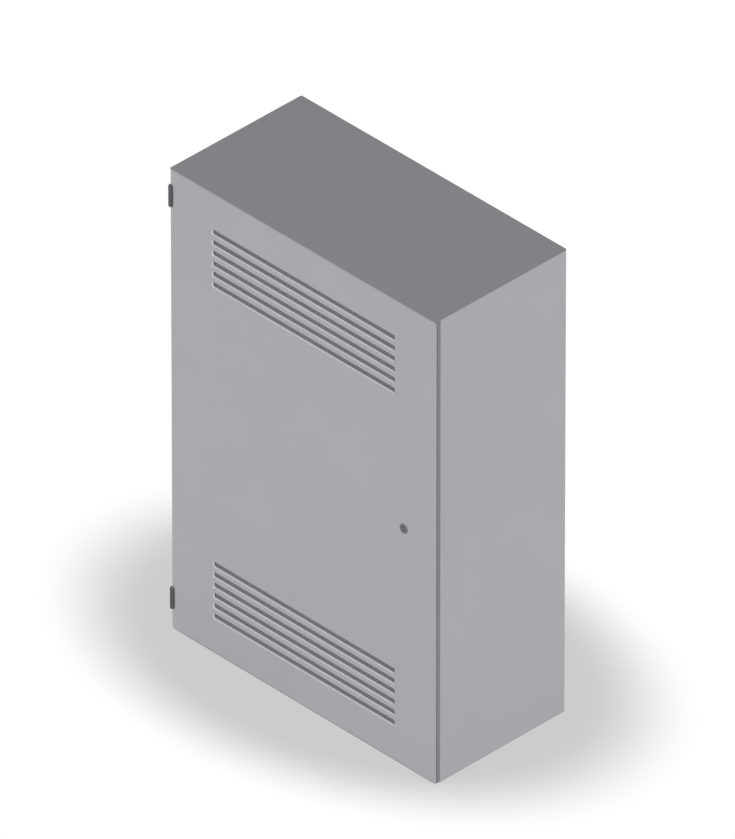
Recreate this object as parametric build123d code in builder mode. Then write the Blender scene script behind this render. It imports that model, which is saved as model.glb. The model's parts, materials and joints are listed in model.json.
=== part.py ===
"""Roadside utility cabinet: a folded steel enclosure with a vented lay-on door.

Millimetres, +Z up. The origin is on the ground, under the middle of the cabinet's plan, and the
door faces -Y. A setback is a distance behind the door's front face.
"""

import os

from build123d import *

# Overall size of the cabinet
width = 800
depth = 385
height = 1192
sheet = 2
bend_radius = 4
overrun = 5
running_gap = 0.05
seat_gap = 0.3

left, right = -width / 2, width / 2
front, back = -depth / 2, depth / 2

# Front frame: the sleeve that the door skin overlaps, its seal land and the edge of the opening
frame_wall = 2
lip_setback = 6
wrap_setback = 14
land_setback = 20
sleeve_setback = 40
land_side_width = 36
land_top_width = 42
return_depth = 9

frame_x = right - sheet
frame_top = height - sheet
inner_x = frame_x - frame_wall
inner_bottom, inner_top = frame_wall, frame_top - frame_wall
opening_x = inner_x - land_side_width
opening_bottom, opening_top = inner_bottom + land_top_width, inner_top - land_top_width

# Base ring, roof and floor
base_height = 40
base_wall = 3
base_foot_width = 60
base_shelf_width = 25
foundation_hole_radius = 7
foundation_hole_inset = 34
roof_nose = 2
roof_flange_width = 28
roof_stud_radius = 3
roof_stud_length = 16
roof_stud_inset = 16
floor_thickness = 2
floor_gap = 4
floor_screw_inset = 10
grommet_hole_radius = 25
grommet_columns = 5
grommet_side_margin = 160
grommet_wall = 3
grommet_lip = 4
floor_screw_length = 10

grommet_spacing = (width - 2 * grommet_side_margin) / (grommet_columns - 1)

# Mounting plate and what it carries
plate_thickness = 2.5
plate_side_margin = 48
plate_bottom = 95
plate_top_gap = 55
plate_stand_off = 47
plate_return = 14
plate_stud_radius = 4
plate_stud_inset = 22
plate_spacer_radius = 8
plate_stud_tail = 14
rail_side_margin = 100
rail_height = 35
rail_crown = 27
rail_depth = 7.5
rail_wall = 1
rail_level_shares = (0.35, 0.73)
rail_slot_length = 15
rail_slot_width = 6.2
rail_slot_pitch = 50
earth_bar_length = 320
earth_bar_height = 20
earth_bar_thickness = 5
earth_bar_level = 175
earth_post_radius = 8
earth_post_length = 22
earth_post_inset = 30
earth_screw_count = 8
earth_screw_pitch = 28

plate_top = height - plate_top_gap
plate_setback = depth - plate_stand_off
rail_length = width - 2 * rail_side_margin
rail_levels = [share * height for share in rail_level_shares]
rail_slot_count = int(rail_length / rail_slot_pitch) - 1
rail_screw_spacing = (rail_slot_count - 1) * rail_slot_pitch
earth_post_spacing = earth_bar_length - 2 * earth_post_inset

# Door skin and its flanged vent slots
door_bottom = 2.5
door_top_gap = 1.5
slot_side_margin = 124.4
slot_height = 15
slot_pitch = 26.9
slot_count = 6
slot_wall_depth = 5.3
slot_flange = 1.2
slot_corner = 1.2
slot_lip_radius = 0.8
upper_vent_drop = 96
lower_vent_rise = 88.5

door_top = frame_top - door_top_gap
slot_length = width - 2 * slot_side_margin
vent_height = (slot_count - 1) * slot_pitch + slot_height
vent_levels = {
    "upper": height - upper_vent_drop - vent_height / 2,
    "lower": lower_vent_rise + vent_height / 2,
}

# Door stiffening ring, ribs and seal
ring_inset = 12
ring_width = 30
ring_depth = 11
ring_wall = 1.5
rib_spread_share = 0.325
rib_width = 50
rib_foot = 14
rib_depth = 14
rib_wall = 1.5
rib_end_gap = 40
seal_width = 12
seal_root = 2.5
seal_bulb_radius = 3.4
seal_round_share = 0.94

ring_back = sheet + ring_depth
rib_spread = width * rib_spread_share
ring_x = right - ring_inset
ring_bottom, ring_top = door_bottom + ring_inset, door_top - ring_inset

# Filter behind each vent: a mat in a folded frame on weld studs
mat_margin = 6
mat_gap = 0.4
mat_thickness = 7
tray_wall = 1.2
tray_flange = 14
tray_windows = 3
tray_bar = 14
tray_border = 16
filter_stud_radius = 2.5
filter_stud_length = 13
wing_boss_radius = 5
wing_boss_height = 5
wing_span = 24
wing_rise = 9
wing_thickness = 2.4

mat_x = slot_length / 2 + mat_margin
mat_half_height = vent_height / 2 + mat_margin
mat_setback = slot_wall_depth + mat_gap
tray_x = mat_x + mat_gap + tray_wall
tray_half_height = mat_half_height + mat_gap + tray_wall
tray_setback = mat_setback + mat_thickness + mat_gap

# Hinges, with the axis on the cabinet's front left edge
hinge_top_drop = 72
hinge_bottom_rise = 80
barrel_radius = 5.5
barrel_length = 58
knuckle_gap = 0.3
pin_radius = 3
leaf_thickness = 2
body_leaf_depth = 19.5
body_leaf_relief = 6.5
door_leaf_reach = 33
notch_width = 7
notch_margin = 0.8
leaf_slot_gap = 0.4
pin_cap = 6
dome_share = 0.9
leaf_share = 0.8
leaf_screw_setback = 11
leaf_screw_radius = 2
leaf_screw_head_radius = 3.8
leaf_screw_head_height = 1.8

hinge_levels = {"top": height - hinge_top_drop, "bottom": hinge_bottom_rise}
middle_knuckle = barrel_length / 3
leaf_screw_places = {
    name: [(front + leaf_screw_setback, level + side * middle_knuckle) for side in (-1, 1)]
    for name, level in hinge_levels.items()
}

# Lock and its three-point latch
lock_edge_distance = 96
lock_level_share = 0.516
lock_head_radius = 11.3
lock_head_height = 2
lock_head_round = 0.8
lock_barrel_radius = 9.5
lock_barrel_length = 19
lock_nut_flats = 26
lock_nut_height = 6
core_radius = 8
core_face_depth = 0.8
core_shoulder_radius = 10
core_shoulder_height = 1.5
spindle_radius = 6.4
key_well_radius = 5.5
key_well_depth = 7
key_post_radius = 2.5
key_bit_width = 3
key_bit_span = 9
spindle_square = 8
spindle_end_gap = 0.2
cam_setback = 31
cam_thickness = 3
cam_hub_radius = 26
cam_tongue_width = 18
cam_tongue_length = 77
cam_screw_radius = 2.5
cam_screw_head_radius = 6.5
cam_screw_head_height = 3.5
cam_screw_length = 9
crank_radius = 20
crank_pin_radius = 3
crank_pin_end = 0.6
rod_setback = 22.6
rod_thickness = 4
rod_width = 20
rod_slot_gap = 0.8
rod_end = 10
rod_tip_gap = 4
rod_tip_chamfer = 5
guide_wall = 3
guide_width = 38
guide_gap = 0.4
guide_foot = 11
guide_set_in = 16
guide_from_lock = 110
rod_keeper_gap = 2

lock_x = right - lock_edge_distance
lock_z = height * lock_level_share
crank_offset = crank_radius / 2**0.5
rod_offset = (crank_radius + crank_offset) / 2
rod_travel = 2 * crank_offset
rod_back = rod_setback + rod_thickness

# Fasteners shared by several pieces
screw_radius = 2.5
screw_head_radius = 5
screw_head_height = 3
driver_slot_width = 1.2
driver_slot_depth = 1.2
nut_height = 5
nut_wall = 4


def front_plane(setback):
    """Sketch plane seen from the front: x is +X, y is +Z, and a negative extrude goes back."""
    return Plane.XZ.offset(-front - setback)


def box_between(x0, y0, x1, y1, mode=Mode.ADD):
    """Rectangle between two corners of the sketch that is open."""
    with Locations(((x0 + x1) / 2, (y0 + y1) / 2)):
        Rectangle(x1 - x0, y1 - y0, mode=mode)


def frame_between(x0, y0, x1, y1, wall):
    """Rectangular ring of that wall, inside the two corners."""
    box_between(x0, y0, x1, y1)
    box_between(x0 + wall, y0 + wall, x1 - wall, y1 - wall, mode=Mode.SUBTRACT)


def grid(x_values, y_values):
    """Every pair of the two lists of places."""
    return [(x, y) for x in x_values for y in y_values]


def spread(count, pitch):
    """Places of a centred row."""
    return [(index - (count - 1) / 2) * pitch for index in range(count)]


def save(piece, name):
    """Label a finished piece and write its STEP file."""
    piece.part.label = name
    export_step(piece.part, os.path.join("parts", name + ".step"))


os.makedirs("parts", exist_ok=True)

# Front frame: sleeve, seal land and the returned edge of the opening, welded as one
with BuildPart() as front_frame:
    with BuildSketch(front_plane(lip_setback)):
        frame_between(-frame_x, 0, frame_x, frame_top, frame_wall)
    extrude(amount=lip_setback - sleeve_setback)
    with BuildSketch(front_plane(land_setback)):
        box_between(-inner_x, inner_bottom, inner_x, inner_top)
        box_between(-opening_x, opening_bottom, opening_x, opening_top, mode=Mode.SUBTRACT)
    extrude(amount=-frame_wall)
    with BuildSketch(front_plane(land_setback)):
        box_between(
            -opening_x - frame_wall, opening_bottom - frame_wall,
            opening_x + frame_wall, opening_top + frame_wall,
        )
        box_between(-opening_x, opening_bottom, opening_x, opening_top, mode=Mode.SUBTRACT)
    extrude(amount=-return_depth)
    with BuildSketch(front_plane(land_setback + frame_wall)):
        keeper_width = rod_width + 2 * rod_keeper_gap
        with Locations((lock_x + rod_offset, opening_top), (lock_x - rod_offset, opening_bottom)):
            Rectangle(keeper_width, 2 * frame_wall + overrun)
    extrude(amount=-return_depth, mode=Mode.SUBTRACT)
    with BuildSketch(Plane.YZ.offset(-frame_x)):
        with Locations(*[place for places in leaf_screw_places.values() for place in places]):
            Circle(leaf_screw_radius)
    extrude(amount=frame_wall, mode=Mode.SUBTRACT)
save(front_frame, "front_frame")

# Wrap: both sides and the back, folded from one sheet, with a flange turned in under the roof
flange_front = front + sleeve_setback + seat_gap
roof_stud_x = right - sheet - roof_stud_inset
roof_stud_y = (flange_front + roof_stud_inset, back - sheet - roof_stud_inset)
roof_stud_places = [(0, roof_stud_y[1])] + grid((-roof_stud_x, roof_stud_x), roof_stud_y)
with BuildPart() as body_wrap:
    with BuildSketch():
        with BuildLine():
            FilletPolyline(
                (left, front + wrap_setback), (left, back), (right, back), (right, front + wrap_setback),
                radius=bend_radius,
            )
            offset(amount=sheet, side=Side.RIGHT)
        make_face()
    extrude(amount=frame_top)
    with BuildSketch(Plane.XY.offset(frame_top)) as roof_flange:
        box_between(left + sheet, flange_front, right - sheet, back - sheet)
        fillet(roof_flange.vertices().group_by(Axis.Y)[-1], bend_radius - sheet)
        box_between(
            left + sheet + roof_flange_width, flange_front,
            right - sheet - roof_flange_width, back - sheet - roof_flange_width, mode=Mode.SUBTRACT,
        )
        with Locations(*roof_stud_places):
            Circle(roof_stud_radius + seat_gap, mode=Mode.SUBTRACT)
    extrude(amount=-sheet)
save(body_wrap, "body_wrap")

# Base ring: a channel with a foot that bolts to the ground and a shelf for the floor
base_front, base_back = front + sleeve_setback, back - sheet
base_x = frame_x
foundation_x = base_x - foundation_hole_inset
foundation_y = (base_front + foundation_hole_inset, base_back - foundation_hole_inset)
floor_x = base_x - floor_gap
floor_y = (base_front + floor_gap, base_back - floor_gap)
floor_middle = sum(floor_y) / 2
floor_top = base_height + floor_thickness
grommet_places = [(x, floor_middle) for x in spread(grommet_columns, grommet_spacing)]
floor_screw_x = floor_x - floor_screw_inset
floor_screw_y = (floor_y[0] + floor_screw_inset, floor_y[1] - floor_screw_inset)
floor_screw_places = grid((-floor_screw_x, 0, floor_screw_x), floor_screw_y)
with BuildPart() as base_ring:
    with BuildSketch():
        frame_between(-base_x, base_front, base_x, base_back, base_wall)
    extrude(amount=base_height)
    with BuildSketch():
        frame_between(-base_x, base_front, base_x, base_back, base_foot_width)
    extrude(amount=base_wall)
    with BuildSketch(Plane.XY.offset(base_height)):
        frame_between(-base_x, base_front, base_x, base_back, base_shelf_width)
    extrude(amount=-base_wall)
    fillet(base_ring.edges().filter_by(Axis.Z).group_by(Axis.Y)[-1], bend_radius - sheet)
    with Locations(*grid((-foundation_x, foundation_x), foundation_y)):
        Cylinder(foundation_hole_radius, 2 * base_wall, mode=Mode.SUBTRACT)
    with BuildSketch(Plane.XY.offset(base_height)):
        with Locations(*floor_screw_places):
            Circle(screw_radius)
    extrude(amount=-base_wall, mode=Mode.SUBTRACT)
save(base_ring, "base_ring")

# Roof: a flat sheet that covers the body and just overhangs the door, so that rain drips clear of the gap
with BuildPart() as roof_cover:
    with BuildSketch(Plane.XY.offset(frame_top)) as roof_outline:
        box_between(left, front - roof_nose, right, back)
        fillet(roof_outline.vertices().group_by(Axis.Y)[-1], bend_radius)
    extrude(amount=sheet)
save(roof_cover, "roof_cover")

with BuildPart() as roof_studs:
    with BuildSketch(Plane.XY.offset(frame_top)):
        with Locations(*roof_stud_places):
            Circle(roof_stud_radius)
    extrude(amount=-roof_stud_length)
save(roof_studs, "roof_studs")

with BuildPart() as roof_nuts:
    with BuildSketch(Plane.XY.offset(frame_top - sheet)):
        with Locations(*roof_stud_places):
            RegularPolygon(roof_stud_radius + nut_wall, 6)
            Circle(roof_stud_radius, mode=Mode.SUBTRACT)
    extrude(amount=-nut_height)
save(roof_nuts, "roof_nuts")

# Floor: a gland plate with a row of cable grommets
with BuildPart() as gland_plate:
    with BuildSketch(Plane.XY.offset(base_height)):
        box_between(-floor_x, floor_y[0], floor_x, floor_y[1])
        with Locations(*grommet_places):
            Circle(grommet_hole_radius, mode=Mode.SUBTRACT)
        with Locations(*floor_screw_places):
            Circle(screw_radius + seat_gap, mode=Mode.SUBTRACT)
    extrude(amount=floor_thickness)
save(gland_plate, "gland_plate")

# Cable grommets: a rubber cone with a lip over the plate and a closed top
grommet_throat = grommet_hole_radius - grommet_wall
grommet_top = floor_top + grommet_hole_radius
grommet_brim = floor_top + grommet_lip
grommet_foot = base_height - grommet_wall
grommet_outline = (
    (0, grommet_top),
    (grommet_throat / 2, grommet_top),
    (grommet_throat, grommet_brim),
    (grommet_hole_radius + grommet_lip, grommet_brim),
    (grommet_hole_radius + grommet_lip, floor_top),
    (grommet_hole_radius, floor_top),
    (grommet_hole_radius, grommet_foot),
    (grommet_throat, grommet_foot),
    (grommet_throat - grommet_wall, grommet_brim),
    (grommet_throat / 2 - grommet_wall, grommet_top - grommet_wall),
    (0, grommet_top - grommet_wall),
)
with BuildPart() as cable_grommets:
    for x, y in grommet_places:
        with BuildSketch(Plane((x, y, 0), x_dir=(1, 0, 0), z_dir=(0, -1, 0))):
            with BuildLine():
                Polyline(*grommet_outline, close=True)
            make_face()
        revolve(axis=Axis((x, y, 0), (0, 0, 1)))
save(cable_grommets, "cable_grommets")

with BuildPart() as floor_screws:
    with BuildSketch(Plane.XY.offset(floor_top)):
        with Locations(*floor_screw_places):
            RegularPolygon(screw_head_radius, 6)
    extrude(amount=screw_head_height)
    with BuildSketch(Plane.XY.offset(floor_top)):
        with Locations(*floor_screw_places):
            Circle(screw_radius)
    extrude(amount=-floor_screw_length)
save(floor_screws, "floor_screws")

# Mounting plate: a galvanised sheet with its edges turned back, on studs from the back panel
plate_x = right - plate_side_margin
plate_front = front + plate_setback
plate_back = plate_front + plate_thickness
plate_plane = front_plane(plate_setback)
stud_plane = front_plane(depth - sheet)
plate_stud_places = grid(
    (plate_stud_inset - plate_x, plate_x - plate_stud_inset),
    (plate_bottom + plate_stud_inset, plate_top - plate_stud_inset),
)
rail_screw_places = grid((-rail_screw_spacing / 2, rail_screw_spacing / 2), rail_levels)
earth_post_places = grid((-earth_post_spacing / 2, earth_post_spacing / 2), (earth_bar_level,))
with BuildPart() as mounting_plate:
    with BuildSketch(plate_plane):
        box_between(-plate_x, plate_bottom, plate_x, plate_top)
    extrude(amount=-plate_return)
    with BuildSketch(plate_plane.offset(-plate_thickness)):
        box_between(
            -plate_x + plate_thickness, plate_bottom + plate_thickness,
            plate_x - plate_thickness, plate_top - plate_thickness,
        )
    extrude(amount=-plate_return, mode=Mode.SUBTRACT)
    with BuildSketch(plate_plane):
        with Locations(*plate_stud_places):
            Circle(plate_stud_radius + seat_gap)
        with Locations(*rail_screw_places, *earth_post_places):
            Circle(screw_radius + seat_gap)
    extrude(amount=-plate_thickness, mode=Mode.SUBTRACT)
save(mounting_plate, "mounting_plate")

with BuildPart() as plate_studs:
    with BuildSketch(stud_plane):
        with Locations(*plate_stud_places):
            Circle(plate_stud_radius)
    extrude(amount=back - sheet - plate_front + plate_stud_tail)
save(plate_studs, "plate_studs")

with BuildPart() as plate_spacers:
    with BuildSketch(stud_plane):
        with Locations(*plate_stud_places):
            Circle(plate_spacer_radius)
            Circle(plate_stud_radius + seat_gap, mode=Mode.SUBTRACT)
    extrude(amount=back - sheet - plate_back)
save(plate_spacers, "plate_spacers")

with BuildPart() as plate_nuts:
    with BuildSketch(plate_plane):
        with Locations(*plate_stud_places):
            RegularPolygon(plate_stud_radius + nut_wall, 6)
            Circle(plate_stud_radius, mode=Mode.SUBTRACT)
    extrude(amount=nut_height)
save(plate_nuts, "plate_nuts")

# Top-hat rails: the web lies on the plate, the lips stand in front
for rail_name, rail_level in zip(("lower_rail", "upper_rail"), rail_levels):
    with BuildPart() as rail:
        with BuildSketch(Plane.YZ.offset(-rail_length / 2)):
            rail_front = plate_front - rail_depth
            web_half, lip_half = rail_crown / 2, rail_height / 2
            box_between(rail_front, rail_level - lip_half, rail_front + rail_wall, rail_level + lip_half)
            box_between(rail_front, rail_level - web_half, plate_front, rail_level + web_half)
            channel_half = web_half - rail_wall
            box_between(
                rail_front, rail_level - channel_half, plate_front - rail_wall, rail_level + channel_half,
                mode=Mode.SUBTRACT,
            )
        extrude(amount=rail_length)
        with BuildSketch(plate_plane):
            with Locations(*[(x, rail_level) for x in spread(rail_slot_count, rail_slot_pitch)]):
                SlotOverall(rail_slot_length, rail_slot_width)
        extrude(amount=rail_wall, mode=Mode.SUBTRACT)
    save(rail, rail_name)

with BuildPart() as rail_screws:
    with BuildSketch(plate_plane.offset(rail_wall)):
        with Locations(*rail_screw_places):
            Circle(screw_head_radius)
    extrude(amount=screw_head_height)
    fillet(rail_screws.faces().sort_by(Axis.Y)[:len(rail_screw_places)].edges(), screw_head_height / 2)
    with BuildSketch(plate_plane.offset(rail_wall)):
        with Locations(*rail_screw_places):
            Circle(screw_radius)
    extrude(amount=-floor_screw_length)
save(rail_screws, "rail_screws")

# Earth bar: a brass strip with a row of clamp screws, held off the plate on two posts
bar_plane = plate_plane.offset(earth_post_length)
earth_screw_places = [(x, earth_bar_level) for x in spread(earth_screw_count, earth_screw_pitch)]
with BuildPart() as earth_posts:
    with BuildSketch(plate_plane):
        with Locations(*earth_post_places):
            RegularPolygon(earth_post_radius, 6)
    extrude(amount=earth_post_length)
    with BuildSketch(plate_plane):
        with Locations(*earth_post_places):
            Circle(screw_radius)
    extrude(amount=-floor_screw_length)
save(earth_posts, "earth_posts")

with BuildPart() as earth_bar:
    with BuildSketch(bar_plane):
        with Locations((0, earth_bar_level)):
            Rectangle(earth_bar_length, earth_bar_height)
        with Locations(*earth_screw_places):
            Circle(screw_radius, mode=Mode.SUBTRACT)
    extrude(amount=earth_bar_thickness)
save(earth_bar, "earth_bar")

with BuildPart() as earth_screws:
    with BuildSketch(bar_plane.offset(earth_bar_thickness)):
        with Locations(*earth_screw_places, *earth_post_places):
            Circle(screw_head_radius)
    extrude(amount=screw_head_height)
    with BuildSketch(bar_plane.offset(earth_bar_thickness + screw_head_height)):
        with Locations(*earth_screw_places, *earth_post_places):
            Rectangle(2 * screw_head_radius, driver_slot_width)
    extrude(amount=-driver_slot_depth, mode=Mode.SUBTRACT)
    with BuildSketch(bar_plane):
        with Locations(*earth_screw_places):
            Circle(screw_radius)
    extrude(amount=earth_bar_thickness)
save(earth_screws, "earth_screws")

# Door skin: one sheet with hinge notches, a lock hole and two groups of flanged slots
door_slot_places = [
    (0, level + offset_z) for level in vent_levels.values() for offset_z in spread(slot_count, slot_pitch)
]
notch_height = barrel_length + 2 * notch_margin
with BuildPart() as door_skin:
    with BuildSketch(front_plane(0)):
        box_between(left, door_bottom, right, door_top)
        with Locations(*[(left, level) for level in hinge_levels.values()]):
            SlotOverall(notch_height, 2 * notch_width, rotation=90, mode=Mode.SUBTRACT)
        with Locations((lock_x, lock_z)):
            Circle(lock_barrel_radius + seat_gap, mode=Mode.SUBTRACT)
    extrude(amount=-sheet)
    with BuildSketch(front_plane(sheet)):
        with Locations(*door_slot_places):
            RectangleRounded(
                slot_length + 2 * slot_flange, slot_height + 2 * slot_flange, slot_corner + slot_flange
            )
    extrude(amount=sheet - slot_wall_depth)
    with BuildSketch(front_plane(0)):
        with Locations(*door_slot_places):
            RectangleRounded(slot_length, slot_height, slot_corner)
    extrude(amount=-slot_wall_depth, mode=Mode.SUBTRACT)
    mouths = door_skin.faces().sort_by(Axis.Y)[0].inner_wires()
    slot_mouths = [mouth for mouth in mouths if mouth.bounding_box().size.X > slot_height]
    fillet([edge for mouth in slot_mouths for edge in mouth.edges()], slot_lip_radius)
save(door_skin, "door_skin")

# Door ring: a channel, open to the skin, that stiffens the edge and carries the seal
with BuildPart() as door_ring:
    with BuildSketch(front_plane(sheet)):
        frame_between(-ring_x, ring_bottom, ring_x, ring_top, ring_width)
    extrude(amount=-ring_depth)
    with BuildSketch(front_plane(sheet)):
        frame_between(
            -ring_x + ring_wall, ring_bottom + ring_wall, ring_x - ring_wall, ring_top - ring_wall,
            ring_width - 2 * ring_wall,
        )
    extrude(amount=ring_wall - ring_depth, mode=Mode.SUBTRACT)
    with BuildSketch(front_plane(sheet)):
        with Locations(*[(-ring_x, level) for level in hinge_levels.values()]):
            Rectangle(2 * overrun, middle_knuckle + 2 * leaf_slot_gap)
    extrude(amount=-leaf_thickness - leaf_slot_gap, mode=Mode.SUBTRACT)
save(door_ring, "door_ring")

# Ribs: two upright hats between the vents
rib_bottom = vent_levels["lower"] + tray_half_height + tray_flange + rib_end_gap
rib_top = vent_levels["upper"] - tray_half_height - tray_flange - rib_end_gap
with BuildPart() as door_ribs:
    for rib_x in (-rib_spread / 2, rib_spread / 2):
        with BuildSketch(Plane.XY.offset(rib_bottom)):
            rib_front = front + sheet
            foot_half, rib_half = rib_width / 2 + rib_foot, rib_width / 2
            box_between(rib_x - foot_half, rib_front, rib_x + foot_half, rib_front + rib_wall)
            box_between(rib_x - rib_half, rib_front, rib_x + rib_half, rib_front + rib_depth)
            box_between(
                rib_x - rib_half + rib_wall, rib_front, rib_x + rib_half - rib_wall,
                rib_front + rib_depth - rib_wall, mode=Mode.SUBTRACT,
            )
        extrude(amount=rib_top - rib_bottom)
save(door_ribs, "door_ribs")

# Seal: a flat root stuck on the ring, with a soft bulb that faces the land of the frame
seal_inset = ring_inset + ring_width / 2
seal_x = right - seal_inset
seal_bottom, seal_top = door_bottom + seal_inset, door_top - seal_inset
bulb_back = land_setback - seat_gap
with BuildPart() as door_seal:
    root_half = seal_width / 2
    with BuildSketch(front_plane(ring_back)):
        frame_between(
            -seal_x - root_half, seal_bottom - root_half, seal_x + root_half, seal_top + root_half, seal_width
        )
    extrude(amount=-seal_root)
    with BuildSketch(front_plane(ring_back + seal_root)):
        frame_between(
            -seal_x - seal_bulb_radius, seal_bottom - seal_bulb_radius,
            seal_x + seal_bulb_radius, seal_top + seal_bulb_radius, 2 * seal_bulb_radius,
        )
    extrude(amount=ring_back + seal_root - bulb_back)
    fillet(door_seal.faces().sort_by(Axis.Y)[-1].edges(), seal_bulb_radius * seal_round_share)
save(door_seal, "door_seal")

# Filters: each mat lies against the slot flanges in a folded tray held by four wing nuts
stud_x = tray_x + tray_flange / 2
window_pitch = (2 * tray_x - tray_border) / tray_windows
for vent_name, vent_level in vent_levels.items():
    stud_places = grid(
        (-stud_x, stud_x),
        (vent_level - tray_half_height + tray_flange, vent_level + tray_half_height - tray_flange),
    )
    with BuildPart() as filter_mat:
        with BuildSketch(front_plane(mat_setback)):
            with Locations((0, vent_level)):
                Rectangle(2 * mat_x, 2 * mat_half_height)
        extrude(amount=-mat_thickness)
    save(filter_mat, vent_name + "_filter_mat")

    with BuildPart() as filter_tray:
        with BuildSketch(front_plane(sheet)):
            with Locations((0, vent_level)):
                Rectangle(2 * (tray_x + tray_flange), 2 * (tray_half_height + tray_flange))
                with Locations(*[(x, y - vent_level) for x, y in stud_places]):
                    Circle(filter_stud_radius + seat_gap, mode=Mode.SUBTRACT)
        extrude(amount=-tray_wall)
        with BuildSketch(front_plane(sheet)):
            with Locations((0, vent_level)):
                Rectangle(2 * tray_x, 2 * tray_half_height)
        extrude(amount=sheet - tray_setback - tray_wall)
        with BuildSketch(front_plane(sheet)):
            with Locations((0, vent_level)):
                Rectangle(2 * (tray_x - tray_wall), 2 * (tray_half_height - tray_wall))
        extrude(amount=sheet - tray_setback, mode=Mode.SUBTRACT)
        with BuildSketch(front_plane(tray_setback)):
            with Locations(*[(x, vent_level) for x in spread(tray_windows, window_pitch)]):
                RectangleRounded(
                    window_pitch - tray_bar, 2 * (tray_half_height - tray_border), tray_wall
                )
        extrude(amount=-tray_wall, mode=Mode.SUBTRACT)
    save(filter_tray, vent_name + "_filter_tray")

    with BuildPart() as filter_studs:
        with BuildSketch(front_plane(sheet)):
            with Locations(*stud_places):
                Circle(filter_stud_radius)
        extrude(amount=-filter_stud_length)
    save(filter_studs, vent_name + "_filter_studs")

    with BuildPart() as wing_nuts:
        with BuildSketch(front_plane(sheet + tray_wall)):
            with Locations(*stud_places):
                Circle(wing_boss_radius)
        extrude(amount=-wing_boss_height)
        for x, z in stud_places:
            with BuildSketch(Plane.YZ.offset(x)):
                wing_root = front + sheet + tray_wall + wing_thickness
                wing_tip = wing_root + wing_rise
                with BuildLine():
                    Polyline(
                        (wing_root, z - wing_boss_radius), (wing_tip, z - wing_span / 2),
                        (wing_tip, z - wing_boss_radius), (wing_root + wing_thickness, z),
                        (wing_tip, z + wing_boss_radius), (wing_tip, z + wing_span / 2),
                        (wing_root, z + wing_boss_radius), close=True,
                    )
                make_face()
            extrude(amount=wing_thickness / 2, both=True)
        with BuildSketch(front_plane(sheet)):
            with Locations(*stud_places):
                Circle(filter_stud_radius)
        extrude(amount=-filter_stud_length, mode=Mode.SUBTRACT)
    save(wing_nuts, vent_name + "_wing_nuts")

# Hinges: two knuckles on the frame, one on the door, and a pin hidden by the domed ends
leaf_left, leaf_right = -inner_x, -inner_x + leaf_thickness
bore_radius = pin_radius + running_gap
knuckle_half = middle_knuckle / 2 - knuckle_gap
barrel_half = barrel_length / 2
for hinge_name, hinge_level in hinge_levels.items():
    with BuildPart() as body_leaf:
        with BuildSketch(Plane.XY.offset(hinge_level - barrel_half)):
            with Locations((left, front)):
                Circle(barrel_radius)
        extrude(amount=barrel_length)
        fillet(body_leaf.edges().filter_by(GeomType.CIRCLE), barrel_radius * dome_share)
        with BuildSketch(Plane.YZ.offset(leaf_left)):
            box_between(front, hinge_level - barrel_half * leaf_share,
                        front + body_leaf_depth, hinge_level + barrel_half * leaf_share)
        extrude(amount=leaf_thickness)
        with BuildSketch(Plane.XY.offset(hinge_level - middle_knuckle / 2)):
            with Locations((left, front)):
                Rectangle(2 * notch_width, 2 * body_leaf_relief)
        extrude(amount=middle_knuckle, mode=Mode.SUBTRACT)
        with BuildSketch(Plane.XY.offset(hinge_level - barrel_half + pin_cap)):
            with Locations((left, front)):
                Circle(bore_radius)
        extrude(amount=barrel_length - 2 * pin_cap, mode=Mode.SUBTRACT)
        with BuildSketch(Plane.YZ.offset(leaf_left)):
            with Locations(*leaf_screw_places[hinge_name]):
                Circle(leaf_screw_radius + seat_gap)
        extrude(amount=leaf_thickness, mode=Mode.SUBTRACT)
    save(body_leaf, hinge_name + "_hinge_body_leaf")

    with BuildPart() as door_leaf:
        with BuildSketch(Plane.XY.offset(hinge_level - knuckle_half)):
            with Locations((left, front)):
                Circle(barrel_radius)
            box_between(left, front + sheet, left + door_leaf_reach, front + sheet + leaf_thickness)
            with Locations((left, front)):
                Circle(bore_radius, mode=Mode.SUBTRACT)
        extrude(amount=2 * knuckle_half)
    save(door_leaf, hinge_name + "_hinge_door_leaf")

    with BuildPart() as hinge_pin:
        with BuildSketch(Plane.XY.offset(hinge_level - barrel_half + pin_cap)):
            with Locations((left, front)):
                Circle(pin_radius)
        extrude(amount=barrel_length - 2 * pin_cap)
    save(hinge_pin, hinge_name + "_hinge_pin")

    with BuildPart() as leaf_screws:
        with BuildSketch(Plane.YZ.offset(leaf_right)):
            with Locations(*leaf_screw_places[hinge_name]):
                Circle(leaf_screw_head_radius)
        extrude(amount=leaf_screw_head_height)
        with BuildSketch(Plane.YZ.offset(leaf_right)):
            with Locations(*leaf_screw_places[hinge_name]):
                Circle(leaf_screw_radius)
        extrude(amount=-leaf_thickness - frame_wall)
    save(leaf_screws, hinge_name + "_hinge_screws")

# Lock: a round head on the door face, a barrel through the skin and a nut behind it
with BuildPart() as lock_housing:
    with BuildSketch(front_plane(0)):
        with Locations((lock_x, lock_z)):
            Circle(lock_head_radius)
    extrude(amount=lock_head_height)
    fillet(lock_housing.faces().sort_by(Axis.Y)[0].edges(), lock_head_round)
    with BuildSketch(front_plane(0)):
        with Locations((lock_x, lock_z)):
            Circle(lock_barrel_radius)
    extrude(amount=-lock_barrel_length)
    with BuildSketch(front_plane(-lock_head_height)):
        with Locations((lock_x, lock_z)):
            Circle(core_radius + running_gap)
    extrude(amount=-lock_head_height - lock_barrel_length, mode=Mode.SUBTRACT)
save(lock_housing, "lock_housing")

with BuildPart() as lock_nut:
    with BuildSketch(front_plane(sheet)):
        with Locations((lock_x, lock_z)):
            RegularPolygon(lock_nut_flats / 2, 6, major_radius=False)
            Circle(lock_barrel_radius, mode=Mode.SUBTRACT)
    extrude(amount=-lock_nut_height)
save(lock_nut, "lock_nut")

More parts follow.
